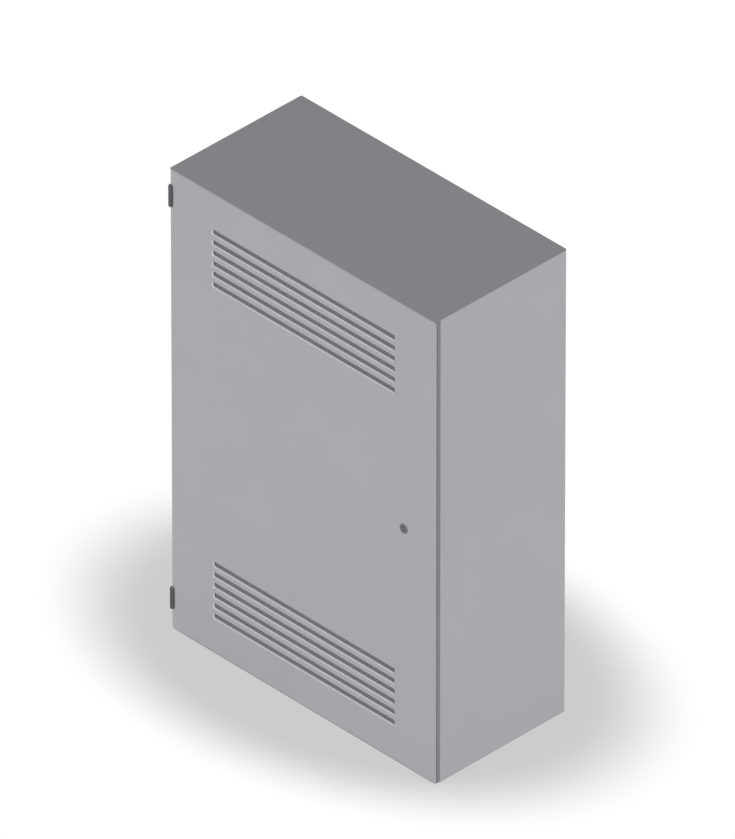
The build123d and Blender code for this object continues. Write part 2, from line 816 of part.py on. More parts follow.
# Lock core: key well in front, round spindle behind, square end for the cam
core_front = core_face_depth - lock_head_height
shoulder_setback = lock_barrel_length + running_gap
spindle_setback = shoulder_setback + core_shoulder_height
with BuildPart() as lock_core:
    with BuildSketch(front_plane(core_front)):
        with Locations((lock_x, lock_z)):
            Circle(core_radius)
    extrude(amount=core_front - shoulder_setback)
    with BuildSketch(front_plane(shoulder_setback)):
        with Locations((lock_x, lock_z)):
            Circle(core_shoulder_radius)
    extrude(amount=-core_shoulder_height)
    with BuildSketch(front_plane(spindle_setback)):
        with Locations((lock_x, lock_z)):
            Circle(spindle_radius)
    extrude(amount=spindle_setback - cam_setback)
    with BuildSketch(front_plane(cam_setback)):
        with Locations((lock_x, lock_z)):
            Rectangle(spindle_square, spindle_square)
    extrude(amount=spindle_end_gap - cam_thickness)
    with BuildSketch(front_plane(core_front)):
        with Locations((lock_x, lock_z)):
            Circle(key_well_radius)
            Circle(key_post_radius, mode=Mode.SUBTRACT)
            Rectangle(key_bit_span, key_bit_width, mode=Mode.SUBTRACT)
    extrude(amount=-key_well_depth, mode=Mode.SUBTRACT)
    with BuildSketch(front_plane(cam_setback + cam_thickness)):
        with Locations((lock_x, lock_z)):
            Circle(cam_screw_radius)
    extrude(amount=cam_screw_length, mode=Mode.SUBTRACT)
save(lock_core, "lock_core")

# Cam: a hub with a tongue for the jamb and two pins that drive the rods
with BuildPart() as latch_cam:
    with BuildSketch(front_plane(cam_setback)):
        with Locations((lock_x, lock_z)):
            Circle(cam_hub_radius)
        with Locations((lock_x, lock_z - cam_tongue_length)):
            Circle(cam_tongue_width / 2)
        box_between(
            lock_x - cam_tongue_width / 2, lock_z - cam_tongue_length, lock_x + cam_tongue_width / 2, lock_z
        )
        with Locations((lock_x, lock_z)):
            Rectangle(
                spindle_square + 2 * running_gap, spindle_square + 2 * running_gap, mode=Mode.SUBTRACT
            )
    extrude(amount=-cam_thickness)
    with BuildSketch(front_plane(cam_setback)):
        with Locations(
            (lock_x + crank_offset, lock_z - crank_offset), (lock_x - crank_offset, lock_z + crank_offset)
        ):
            Circle(crank_pin_radius)
    extrude(amount=cam_setback - rod_setback + crank_pin_end)
save(latch_cam, "latch_cam")

with BuildPart() as cam_screw:
    with BuildSketch(front_plane(cam_setback + cam_thickness)):
        with Locations((lock_x, lock_z)):
            RegularPolygon(cam_screw_head_radius, 6)
    extrude(amount=-cam_screw_head_height)
    with BuildSketch(front_plane(cam_setback + cam_thickness)):
        with Locations((lock_x, lock_z)):
            Circle(cam_screw_radius)
    extrude(amount=cam_screw_length)
save(cam_screw, "cam_screw")

# Latch rods and their guides: one rod goes up from the cam, the other goes down
rod_slot_half = (crank_radius - crank_offset) / 2 + crank_pin_radius + rod_slot_gap
rods = {
    "upper": (1, lock_x + rod_offset, opening_top),
    "lower": (-1, lock_x - rod_offset, opening_bottom),
}
for rod_name, (way, rod_x, rod_goal) in rods.items():
    pin_level = lock_z - way * crank_offset
    rod_tip = rod_goal - way * rod_tip_gap
    rod_root = pin_level - way * rod_end
    with BuildPart() as latch_rod:
        with BuildSketch(front_plane(rod_setback)) as rod_outline:
            with Locations((rod_x, (rod_tip + rod_root) / 2)):
                Rectangle(rod_width, abs(rod_tip - rod_root))
            chamfer(rod_outline.vertices().group_by(Axis.Y)[-1 if way > 0 else 0], rod_tip_chamfer)
            with Locations((rod_x, pin_level)):
                RectangleRounded(
                    2 * rod_slot_half, 2 * (crank_pin_radius + rod_slot_gap), crank_pin_radius,
                    mode=Mode.SUBTRACT,
                )
        extrude(amount=-rod_thickness)
    save(latch_rod, rod_name + "_rod")

    guide_levels = (lock_z + way * guide_from_lock, rod_goal - way * guide_set_in)
    with BuildPart() as rod_guides:
        for guide_level in guide_levels:
            with BuildSketch(front_plane(sheet)):
                with Locations((rod_x, guide_level)):
                    Rectangle(guide_width, guide_wall)
            extrude(amount=sheet - rod_back - guide_gap - guide_wall)
            with BuildSketch(front_plane(sheet)):
                foot_middle = guide_level + way * (guide_wall / 2 + guide_foot / 2)
                with Locations((rod_x, foot_middle)):
                    Rectangle(guide_width, guide_foot)
            extrude(amount=-guide_wall)
            with BuildSketch(front_plane(rod_setback - guide_gap)):
                with Locations((rod_x, guide_level)):
                    Rectangle(rod_width + 2 * guide_gap, guide_wall + overrun)
            extrude(amount=-rod_thickness - 2 * guide_gap, mode=Mode.SUBTRACT)
    save(rod_guides, rod_name + "_rod_guides")
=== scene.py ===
# %% [markdown]
# # A roadside utility cabinet, dressed around its CAD frame
#
# The cabinet is folded sheet steel: a mid grey roof and front frame, a light grey door and sides. The
# CAD model already has every sheet at its true size, so it is loaded first as a fixed frame. This
# lesson gives each sheet its finish and makes the few pieces that solid modelling draws too plainly:
# the fibre mats behind the vents, the soft door seal, the stepped rubber grommets and the threads.

# %% Load the frame
import json
import math

import bmesh
import bpy
import numpy as np
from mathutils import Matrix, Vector


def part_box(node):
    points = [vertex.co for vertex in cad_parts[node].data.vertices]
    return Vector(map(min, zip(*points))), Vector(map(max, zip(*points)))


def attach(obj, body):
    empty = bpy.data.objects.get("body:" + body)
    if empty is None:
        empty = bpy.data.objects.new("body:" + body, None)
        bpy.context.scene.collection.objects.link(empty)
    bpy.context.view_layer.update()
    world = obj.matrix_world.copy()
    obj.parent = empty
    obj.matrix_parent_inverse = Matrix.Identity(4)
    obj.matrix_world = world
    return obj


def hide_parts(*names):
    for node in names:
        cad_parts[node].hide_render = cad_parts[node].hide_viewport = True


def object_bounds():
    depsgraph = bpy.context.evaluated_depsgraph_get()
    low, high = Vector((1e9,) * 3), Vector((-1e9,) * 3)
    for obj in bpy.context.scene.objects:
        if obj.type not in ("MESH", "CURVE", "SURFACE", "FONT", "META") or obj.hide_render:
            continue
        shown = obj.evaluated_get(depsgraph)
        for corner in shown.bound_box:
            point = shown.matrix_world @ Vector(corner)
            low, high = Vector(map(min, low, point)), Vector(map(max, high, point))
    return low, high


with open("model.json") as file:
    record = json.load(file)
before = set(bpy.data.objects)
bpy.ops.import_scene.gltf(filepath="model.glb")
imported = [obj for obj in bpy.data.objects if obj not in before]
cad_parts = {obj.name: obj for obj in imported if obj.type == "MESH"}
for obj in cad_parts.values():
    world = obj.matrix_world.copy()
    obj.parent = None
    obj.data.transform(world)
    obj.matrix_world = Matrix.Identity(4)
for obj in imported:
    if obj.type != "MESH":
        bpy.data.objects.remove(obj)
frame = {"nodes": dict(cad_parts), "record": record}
nodes = frame["nodes"]
MM = 0.001
cad_box = [list(corner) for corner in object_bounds()]
print("frame:", len(nodes), "nodes, box", cad_box)

# %% [markdown]
# ## Small tools
#
# Colours are written as the sRGB hex values that one would read off a paint chart, but the renderer
# adds light, so it needs linear numbers. One function does that. A second one adds a shader node with
# its settings and links in a single call, which keeps each material readable from top to bottom.


# %% Colour and node
def linear(hex_colour):
    """sRGB hex to linear RGBA: each channel through the standard piecewise curve."""
    srgb = np.array([int(hex_colour[i:i + 2], 16) for i in (1, 3, 5)]) / 255
    low, high = srgb / 12.92, ((srgb + 0.055) / 1.055) ** 2.4
    return (*np.where(srgb <= 0.04045, low, high).tolist(), 1.0)


def node(tree, kind, inputs=None, output=None, **settings):
    """Adds one node and returns it, or the named output. Sockets in inputs are linked, values are set."""
    made = tree.nodes.new("ShaderNode" + kind)
    for name, value in settings.items():
        setattr(made, name, value)
    for name, value in (inputs or {}).items():
        if isinstance(value, bpy.types.NodeSocket):
            tree.links.new(value, made.inputs[name])
        else:
            made.inputs[name].default_value = value
    return made.outputs[output] if output else made


print("mid grey in linear light:", [round(value, 3) for value in linear("#808285")])

# %% [markdown]
# ## What every finish shares
#
# No real surface is one flat colour: paint, zinc and rubber all wander a little in lightness and gloss.
# So each finish starts from patches of noise of a real size and lets them tint its colour. Most of a
# noise lies in the middle of its range, so that middle is what gets spread over the wanted span.

# %% Patches, tints and the shader
NOISE_MIDDLE = {"From Min": 0.3, "From Max": 0.7}


def new_material(name):
    """A material with an empty node tree."""
    material = bpy.data.materials.new(name)
    material.use_nodes = True
    material.node_tree.nodes.clear()
    return material, material.node_tree


def finish_surface(material, **inputs):
    """Ends a material in one Principled shader. Spaces in socket names are written as underscores."""
    tree = material.node_tree
    named = {name.replace("_", " "): value for name, value in inputs.items()}
    node(tree, "OutputMaterial", {"Surface": node(tree, "BsdfPrincipled", named, "BSDF")})
    return material


def patches(tree, size, detail=2.0, stretch=(1, 1, 1), place=None):
    """Noise whose patches are about size metres across, in Object coordinates or at a given place."""
    place = place or node(tree, "TexCoord", output="Object")
    scaled = node(tree, "Mapping", {"Vector": place, "Scale": stretch}, "Vector")
    return node(tree, "TexNoise", {"Vector": scaled, "Scale": 1 / size, "Detail": detail}, "Fac")


def spread(pattern, span):
    """Inputs for Map Range that stretch the middle of a noise over span, from its first end to its last."""
    return {"Value": pattern, **NOISE_MIDDLE, "To Min": span[0], "To Max": span[1]}


def tinted(tree, colour, pattern, span):
    """A linear colour times a pattern that is spread over span, so that only its lightness wanders."""
    factor = node(tree, "MapRange", spread(pattern, span), "Result")
    mixed = {"Fac": 1.0, "Color1": colour, "Color2": factor}
    return node(tree, "MixRGB", mixed, "Color", blend_type="MULTIPLY")


finishes = {}
print("a noise is spread between its values", *NOISE_MIDDLE.values())

# %% [markdown]
# ## Powder-coated sheet steel
#
# The door, sides, roof and frame are sprayed with dry polyester powder and baked. The melt leaves a
# satin skin with a faint orange peel, and the eye also picks up very broad, weak changes of tone. A
# flat colour would look like card, so the tone wanders by about one part in a hundred and the gloss by
# a little more. The real peel is finer than a pixel here, so it is drawn at 3 mm to show at all. The
# folded edges are sharp in the solids, and a bevel of the shading normal rounds them as the paint does.
# The hinges are stoved in a near-black grey and the lock is a coated zinc casting. Both are painted in
# the same way and are a little glossier.

# %% Powder coat
PEEL, PEEL_DEPTH, EDGE_RADIUS = 3 * MM, 0.15 * MM, 0.8 * MM
TONE_PATCH, TONE_SPAN = 220 * MM, (0.985, 1.012)
GLOSS_PATCH, GLOSS_SWING = 70 * MM, 0.02


def painted_light_walls(tree, tone, painted_light_colour, face_axis, wall_reach):
    """Painted light: a paler painted_light_colour where a face turns from face_axis, within wall_reach of
    the middle.
    """
    place = node(tree, "TexCoord").outputs
    facing = node(tree, "SeparateXYZ", {0: place["Normal"]}, face_axis)
    flat = node(tree, "Math", {0: facing}, "Value", operation="ABSOLUTE")
    across = node(tree, "SeparateXYZ", {0: place["Object"]}, "X")
    off_middle = node(tree, "Math", {0: across}, "Value", operation="ABSOLUTE")
    beyond = node(tree, "Math", {0: off_middle, 1: wall_reach}, "Value", operation="GREATER_THAN")
    keep = node(tree, "Math", {0: flat, 1: beyond}, "Value", operation="MAXIMUM")
    # Painted light: faces turned away from face_axis get painted_light_colour instead of the paint's own
    # tone.
    return node(tree, "MixRGB", {"Fac": keep, "Color1": linear(painted_light_colour), "Color2": tone}, "Color")


def powder_coat(name, colour, rough=0.46, painted_light_colour=None, face_axis="Y", wall_reach=1.0):
    """Satin paint with orange peel and soft edges, and where painted_light_colour is given, with painted
    light on its walls.
    """
    material, tree = new_material(name)
    tone = tinted(tree, linear(colour), patches(tree, TONE_PATCH, 3), TONE_SPAN)
    if painted_light_colour:
        tone = painted_light_walls(tree, tone, painted_light_colour, face_axis, wall_reach)
    rough_span = (rough - GLOSS_SWING, rough + GLOSS_SWING)
    gloss = node(tree, "MapRange", spread(patches(tree, GLOSS_PATCH), rough_span), "Result")
    soft_edge = node(tree, "Bevel", {"Radius": EDGE_RADIUS}, "Normal", samples=4)
    peel = node(tree, "Bump", {
        "Height": patches(tree, PEEL, 1), "Strength": 0.12, "Distance": PEEL_DEPTH, "Normal": soft_edge,
    }, "Normal")
    return finish_surface(material, Base_Color=tone, Roughness=gloss, Normal=peel, IOR=1.48,
                          Specular_IOR_Level=0.35)


finishes["light_paint"] = powder_coat("powder_coat_light_grey", "#A7A9AC")
finishes["dark_paint"] = powder_coat("powder_coat_mid_grey", "#808285")
finishes["hinge_steel"] = powder_coat("stoved_black_grey_steel", "#4F5052", 0.42)
finishes["lock_zinc"] = powder_coat("coated_zinc_casting", "#6D6E71", 0.36)
print("paints:", sorted(finishes))

# %% [markdown]
# ## Bare metals inside
#
# The mounting plate and the gland plate are hot-dip galvanised: zinc freezes in flat crystals, each
# turned a little differently, so neighbouring flakes reflect more or less light, and frost lines run
# through each flake in its own direction. A photograph of such a sheet would repeat and hold one size,
# so the crystals are computed: a cell texture gives one random value to each flake, which sets its
# lightness and turns a stretched noise. Rails, screws, rods and nuts are electroplated with zinc, which
# is brighter and even. The earth bar is drawn brass, with fine lines along the direction in which it
# was pulled. Real frost lines and drawing lines are as fine as hairs, so both are widened until they show.

# %% Galvanised sheet, zinc plate and brass
FLAKE, FLAKE_TONE, FLAKE_ROUGH, FLAKE_TURN = 14 * MM, (0.9, 1.04), (0.48, 0.38), 4 * math.pi
FROST_LINE, FROST_STRETCH, FROST_TONE = 1.6 * MM, (0.12, 1, 1), (0.9, 1.06)
PLATE_GRAIN, PLATE_ROUGH = 2 * MM, (0.26, 0.4)
DRAW_LINE, DRAW_STRETCH, DRAW_ROUGH = 0.6 * MM, (0.02, 1, 1), (0.24, 0.38)
BRIGHT_TONE = (0.88, 1.04)


def galvanised_sheet(name, colour):
    """Dull zinc with a spangle: each frozen flake has its own lightness, gloss and run of frost lines."""
    material, tree = new_material(name)
    place = node(tree, "TexCoord", output="Object")
    flakes = node(tree, "TexVoronoi", {"Vector": place, "Scale": 1 / FLAKE}, "Color")
    flake = node(tree, "RGBToBW", {"Color": flakes}, "Val")
    angle = node(tree, "Math", {0: flake, 1: FLAKE_TURN}, "Value", operation="MULTIPLY")
    turned = node(tree, "VectorRotate", {"Vector": place, "Angle": angle}, "Vector", rotation_type="Y_AXIS")
    frost = patches(tree, FROST_LINE, 3, FROST_STRETCH, turned)
    tone = tinted(tree, linear(colour), flake, FLAKE_TONE)
    frosted = tinted(tree, tone, frost, FROST_TONE)
    rough = node(tree, "MapRange", spread(flake, FLAKE_ROUGH), "Result")
    return finish_surface(material, Base_Color=frosted, Roughness=rough, Metallic=1.0)


def bright_metal(name, colour, rough_span, grain, stretch=(1, 1, 1)):
    """Bright metal whose gloss follows its grain. A stretched grain reads as drawing lines."""
    material, tree = new_material(name)
    pattern = patches(tree, grain, 2, stretch)
    tone = tinted(tree, linear(colour), pattern, BRIGHT_TONE)
    rough = node(tree, "MapRange", spread(pattern, rough_span), "Result")
    return finish_surface(material, Base_Color=tone, Roughness=rough, Metallic=1.0)


finishes["galvanised_sheet"] = galvanised_sheet("hot_dip_galvanised_sheet", "#B9BDC0")
finishes["zinc_plated_steel"] = bright_metal("zinc_plated_steel", "#C1C5C8", PLATE_ROUGH, PLATE_GRAIN)
finishes["brass"] = bright_metal("drawn_brass", "#C9A24A", DRAW_ROUGH, DRAW_LINE, DRAW_STRETCH)
print("with metals:", len(finishes), "finishes")

# %% [markdown]
# ## Rubber, fibre and moulded insulators
#
# EPDM rubber is a soot-filled, matt black with a slight bloom. The filter mats are a felt of crimped
# polyester fibres: seen through the slots they are a dark, lightless grey, so they get full roughness
# and a crossing of stretched noises that reads as strands. The insulating posts of the earth bar are
# glass-filled moulding compound, a dull brick red with a fine mottle. The grain of the rubber and the
# fibres are too fine to show in the picture, so both are drawn more than a millimetre wide.

# %% Soft and moulded materials
RUBBER_GRAIN, RUBBER_DEPTH, BLOOM, BLOOM_TONE = 1.5 * MM, 0.1 * MM, 30 * MM, (0.9, 1.25)
FIBRE, FIBRE_DEPTH, FIBRE_STRETCH, FIBRE_TONE = 1.2 * MM, 0.5 * MM, 0.12, (0.8, 1.1)
MOTTLE, MOTTLE_TONE = 4 * MM, (0.85, 1.12)


def epdm_rubber(name, colour):
    """Matt moulded rubber with a fine grain and a bloom that lightens it in patches."""
    material, tree = new_material(name)
    tone = tinted(tree, linear(colour), patches(tree, BLOOM), BLOOM_TONE)
    raised = {"Height": patches(tree, RUBBER_GRAIN), "Strength": 0.2, "Distance": RUBBER_DEPTH}
    grain = node(tree, "Bump", raised, "Normal")
    return finish_surface(material, Base_Color=tone, Roughness=0.72, IOR=1.52, Normal=grain)


def fibre_felt(name, colour):
    """Felted strands: two noises, long in X and long in Z, laid over each other."""
    material, tree = new_material(name)
    along = patches(tree, FIBRE, 2, (FIBRE_STRETCH, 1, 1))
    across = patches(tree, FIBRE, 2, (1, 1, FIBRE_STRETCH))
    strands = node(tree, "Math", {0: along, 1: across}, "Value", operation="MAXIMUM")
    tone = tinted(tree, linear(colour), strands, FIBRE_TONE)
    felt = node(tree, "Bump", {"Height": strands, "Strength": 0.6, "Distance": FIBRE_DEPTH}, "Normal")
    return finish_surface(material, Base_Color=tone, Roughness=0.95, Specular_IOR_Level=0.1, Normal=felt)


def moulding_compound(name, colour):
    """Dull thermoset plastic with a fine two-tone mottle."""
    material, tree = new_material(name)
    tone = tinted(tree, linear(colour), patches(tree, MOTTLE, 4), MOTTLE_TONE)
    return finish_surface(material, Base_Color=tone, Roughness=0.5, IOR=1.55)


finishes["seal_rubber"] = epdm_rubber("moulded_epdm_rubber", "#2B2B2C")
finishes["filter_fibre"] = fibre_felt("felted_polyester_fibre", "#78797B")
finishes["post_plastic"] = moulding_compound("glass_filled_moulding_compound", "#8E2B22")
print("finishes:", sorted(finishes))

# %% [markdown]
# ## Paint the CAD sheets
#
# The record says which finish each CAD piece has, so the materials go on by that list and no piece can
# be forgotten. The roof lies open to the whole sky, so the same grey shows lighter there than on the
# upright frame. It gets its own slightly deeper mix of the grey, which is painted shade, and the two then
# look alike. Its upright edges get a paler grey, which is painted light. The turned-in walls of the door's
# slots get a paler grey than its face: a painted highlight, as if more light fell on them. They lie
# within 0.3 m of its middle, and its outer edges keep the plain tone.

# %% Assign finishes to CAD nodes
VENT_REACH = 0.3
slot_of = {part["node"]: part["material_slot"] for part in frame["record"]["subparts"]}
for name, piece in nodes.items():
    piece.data.materials.clear()
    piece.data.materials.append(finishes[slot_of[name]])
# Painted shade and light: the roof top is a deeper grey against the sky's extra light, its upright edges a
# paler grey.
roof_paint_with_painted_light = powder_coat("powder_coat_mid_grey_roof_painted_light", "#7A7C7F", 0.5, "#8A8C8F", "Z")
# Painted highlight: the walls of the door's slots get a paler grey than its face.
door_paint_with_painted_highlight = powder_coat("powder_coat_light_grey_door_painted_highlight", "#A7A9AC", 0.46, "#D7D8DA", "Y", VENT_REACH)
nodes["roof_cover"].data.materials[0] = roof_paint_with_painted_light
nodes["door_skin"].data.materials[0] = door_paint_with_painted_highlight
print("painted", len(nodes), "CAD nodes")

# %% [markdown]
# ## Surfaces from two parameters
#
# Each new piece could be modelled by hand, but a formula keeps its sizes tied to the frame. So every
# piece below is a function of two parameters worked out on a grid, and one helper can turn any of them
# into a mesh: point (i, j) of the array is joined to its neighbours (i + 1, j) and (i, j + 1). A
# direction can be closed, as round a tube. Points that fall together at a pole are merged, and the
# normals are then turned outwards.


# %% Faces of a grid
def grid_faces(rows, columns, close_rows=False, close_columns=False):
    """Quads of a grid: index = row * columns + column, with the wrapped row or column taken modulo."""
    i = np.arange(rows if close_rows else rows - 1)[:, None]
    j = np.arange(columns if close_columns else columns - 1)[None, :]
    i2, j2 = (i + 1) % rows, (j + 1) % columns
    corners = [i * columns + j, i * columns + j2, i2 * columns + j2, i2 * columns + j]
    return np.stack(np.broadcast_arrays(*corners), axis=-1).reshape(-1, 4)


print("a closed grid of 3 by 4 points has", len(grid_faces(3, 4, True, True)), "faces")

# %% Grid to mesh
MERGE_DISTANCE = 0.002 * MM


def surface(name, sheets, faces, body, slot, replaced):
    """One object from several copies of a grid: sheets has shape (copies, rows, columns, 3), in metres."""
    copies = sheets.reshape(len(sheets), -1, 3)
    step = copies.shape[1]
    all_faces = (faces[None] + step * np.arange(len(copies))[:, None, None]).reshape(-1, 4)
    mesh = bpy.data.meshes.new(name)
    mesh.from_pydata(copies.reshape(-1, 3), [], all_faces)
    merged = bmesh.new()
    merged.from_mesh(mesh)
    bmesh.ops.remove_doubles(merged, verts=merged.verts, dist=MERGE_DISTANCE)
    bmesh.ops.recalc_face_normals(merged, faces=merged.faces)
    merged.to_mesh(mesh)
    merged.free()
    mesh.shade_smooth()
    mesh.materials.append(finishes[slot])
    piece = bpy.data.objects.new(name, mesh)
    bpy.context.scene.collection.objects.link(piece)
    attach(piece, body)
    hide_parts(replaced)
    print(name, len(mesh.polygons), "faces")
    return piece


def box_of(name):
    """Low corner, high corner and centre of a CAD node, as arrays in metres."""
    low, high = (np.array(corner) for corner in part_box(name))
    return low, high, (low + high) / 2


print("middle of the door skin, in metres:", box_of("door_skin")[2].round(4))

# %% [markdown]
# ## Filter mats
#
# Behind each group of slots lies a felted mat. It is cut from a roll, so its faces are nearly flat, but
# its edges are soft and its surface is lumpy. A box with rounded edges would still look hard, so the
# closed form is a superellipse, which is a circle whose sine and cosine are raised to small powers until
# it is nearly a box. It is carried up the mat and shrinks in thickness to a line at both ends. The lumps
# are a sum of waves with fixed random directions.

# %% Filter mats
MAT_ROWS, MAT_COLUMNS, MAT_FILL, MAT_SEED = 72, 240, 0.9, 7
MAT_WIDTH_POWER, MAT_DEPTH_POWER, MAT_END_POWER = 0.3, 1 / 3, 40
MAT_WAVES, WAVE_SIZE, MAT_LUMP = 14, 18 * MM, 0.25 * MM
rng = np.random.default_rng(MAT_SEED)


def signed_power(value, power):
    """Keeps the sign of value and raises its size to a power."""
    return np.sign(value) * np.abs(value) ** power


def felt_mat(low, high):
    """Superellipse of half width a and half thickness b, carried along Z with b falling off at the ends."""
    half = (high - low) / 2
    turn = np.linspace(0, 2 * np.pi, MAT_COLUMNS, endpoint=False)[None, :]
    level = np.sin(np.linspace(-np.pi / 2, np.pi / 2, MAT_ROWS))[:, None]
    falloff = (1 - np.abs(level) ** MAT_END_POWER) ** MAT_DEPTH_POWER
    x = half[0] * signed_power(np.cos(turn), MAT_WIDTH_POWER) * np.ones_like(level)
    y = (half[1] - MAT_LUMP) * signed_power(np.sin(turn), MAT_DEPTH_POWER) * falloff
    z = half[2] * level * np.ones_like(turn)
    waves = rng.normal(0, 1 / WAVE_SIZE, (MAT_WAVES, 2))
    phases = rng.uniform(0, 2 * np.pi, MAT_WAVES)
    lumps = sum(np.sin(k[0] * x + k[1] * z + phase) for k, phase in zip(waves, phases)) / MAT_WAVES ** 0.5
    outward = np.where(np.sin(turn) < 0, -1, 1)
    y = y + np.clip(lumps, -1, 1) * MAT_LUMP * falloff * outward
    return np.stack([x, y, z], axis=-1) + (low + high) / 2


for vent in ("upper", "lower"):
    low, high, _ = box_of(vent + "_filter_mat")
    points = felt_mat(low, high)
    mat = surface(vent + "_fibre_mat", points[None], grid_faces(*points.shape[:2], close_columns=True),
                  "door", "filter_fibre", vent + "_filter_mat")

# %% [markdown]
# ## Door seal
#
# The seal is an extruded rubber strip with a flat root and a round bulb, laid in a loop on the door's
# edge channel. It turns its corners in a small arc, because rubber can't fold. A curve object with a
# bevel profile could draw it, but its profile may twist at the corners. So the strip is computed as a
# profile carried along a path: the path is a rectangle with rounded corners, and the profile stands on
# it at right angles everywhere.

# %% Door seal
SEAL_WIDTH, SEAL_ROOT, SEAL_BULB, SEAL_CORNER = 12 * MM, 2.2 * MM, 3.6 * MM, 14 * MM
BULB_TUCK, SHOULDER_SHARE, LIP_SHARE = 0.2 * np.pi, 0.8, 0.6


def rounded_loop(half_x, half_z, corner, per_corner=10):
    """A rectangle whose corners are quarter circles: returns points and outward normals round the loop."""
    angle = np.linspace(0, np.pi / 2, per_corner)
    starts = np.arange(4) * np.pi / 2
    all_angles = (starts[:, None] + angle[None, :]).reshape(-1)
    centre_x = (half_x - corner) * np.sign(np.cos(starts + np.pi / 4))
    centre_z = (half_z - corner) * np.sign(np.sin(starts + np.pi / 4))
    normal = np.stack([np.cos(all_angles), np.sin(all_angles)], axis=-1)
    centre = np.repeat(np.stack([centre_x, centre_z], axis=-1), per_corner, axis=0)
    return centre + corner * normal, normal


def seal_profile(depth, around=22):
    """Root corners, then a bulb that is a part circle: (across the strip, height above the channel)."""
    turn = np.linspace(-BULB_TUCK, np.pi + BULB_TUCK, around)
    bulb = np.stack([SEAL_BULB * np.cos(turn), depth - SEAL_BULB + SEAL_BULB * np.sin(turn)], axis=-1)
    half, shoulder = SEAL_WIDTH / 2, SEAL_ROOT * SHOULDER_SHARE
    root = np.array([[-half, shoulder], [-half, 0], [half, 0], [half, shoulder]])
    lip = np.array([[half * LIP_SHARE, SEAL_ROOT]])
    return np.concatenate([bulb, lip * [-1, 1], root, lip])


low, high, centre = box_of("door_seal")
half_loop = (high - low - SEAL_WIDTH) / 2
loop, outward = rounded_loop(half_loop[0], half_loop[2], SEAL_CORNER)
profile = seal_profile(high[1] - low[1])
flat = loop[:, None, :] + outward[:, None, :] * profile[None, :, :1]
depth = np.broadcast_to(low[1] + profile[None, :, 1], flat.shape[:2])
points = np.stack([flat[..., 0] + centre[0], depth, flat[..., 1] + centre[2]], axis=-1)
surface("door_seal_strip", points[None], grid_faces(*points.shape[:2], True, True),
        "door", "seal_rubber", "door_seal")

# %% [markdown]
# ## Cable grommets
#
# A grommet is moulded rubber: a brim over the plate and a cone of steps, so that the fitter cuts it at
# the step that fits the cable. It is a surface of revolution, which a spun outline gives in one go: down
# the inside as a plain cone, round the neck and the brim, and up the outside in stairs. Rubber has no
# sharp edges, so a small live bevel rounds the steps.

# %% Cable grommets
GROMMETS, STEPS, GROMMET_SIDES = 5, 4, 48
NECK, CONE_FOOT, CONE_TIP, RUBBER_WALL = 25 * MM, 22 * MM, 11 * MM, 3 * MM
BRIM_HEIGHT, BRIM_CHAMFER, BRIM_EDGE_SHARE, STEP_ROUND = 4 * MM, 1 * MM, 0.7, 0.5 * MM
low, high, centre = box_of("cable_grommets")
brim = (high[1] - low[1]) / 2
plate_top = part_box("gland_plate")[1][2]


def stepped_outline():
    """(radius, height): the inner cone from the axis down, the neck and brim, then stairs up to the axis."""
    brim_top, inner_top = plate_top + BRIM_HEIGHT, high[2] - RUBBER_WALL
    inner_foot = CONE_FOOT - RUBBER_WALL
    inside = np.array([[0, inner_top], [CONE_TIP - RUBBER_WALL, inner_top], [inner_foot, brim_top]])
    bottom = np.array([[inner_foot, low[2]], [NECK, low[2]], [NECK, plate_top], [brim, plate_top],
                       [brim, plate_top + BRIM_HEIGHT * BRIM_EDGE_SHARE], [brim - BRIM_CHAMFER, brim_top]])
    levels = np.linspace(brim_top, high[2], STEPS + 1)
    radii = np.linspace(CONE_FOOT, CONE_TIP, STEPS)
    stairs = np.stack([np.repeat(radii, 2), np.stack([levels[:-1], levels[1:]], -1).reshape(-1)], -1)
    top = np.array([[0, high[2]]])
    return np.concatenate([inside, bottom, stairs, top])


outline = stepped_outline()
turn = np.linspace(0, 2 * np.pi, GROMMET_SIDES, endpoint=False)
ring = np.stack([np.cos(turn), np.sin(turn)], axis=-1)
across = outline[:, None, :1] * ring[None]
height = np.broadcast_to(outline[:, None, 1:], (*across.shape[:2], 1))
points = np.concatenate([across, height], axis=-1)
middles = np.linspace(low[0] + brim, high[0] - brim, GROMMETS)
offsets = np.stack([middles, np.full(GROMMETS, centre[1]), np.zeros(GROMMETS)], axis=-1)
sheets = points[None] + offsets[:, None, None, :]
grommets = surface("stepped_grommets", sheets, grid_faces(*points.shape[:2], close_columns=True),
                   "cabinet", "seal_rubber", "cable_grommets")
bevel = grommets.modifiers.new("soft_steps", "BEVEL")
bevel.width, bevel.segments, bevel.limit_method = STEP_ROUND, 2, "ANGLE"

# %% [markdown]
# ## Threaded studs
#
# A screw thread is a V groove that climbs one pitch in each turn. A screw modifier could wind one, but it
# leaves the ends open. On a grid of height and angle the whole stud is one line: the radius is the full
# radius less the groove depth times a triangle wave of height / pitch minus angle / full turn. The free
# end runs in to a chamfer, and both ends go to the axis, which closes them.

# %% One thread
GROOVE_SHARE, CHAMFER_RUN_SHARE, CHAMFER_DEPTH_SHARE = 0.54, 1.2, 0.8


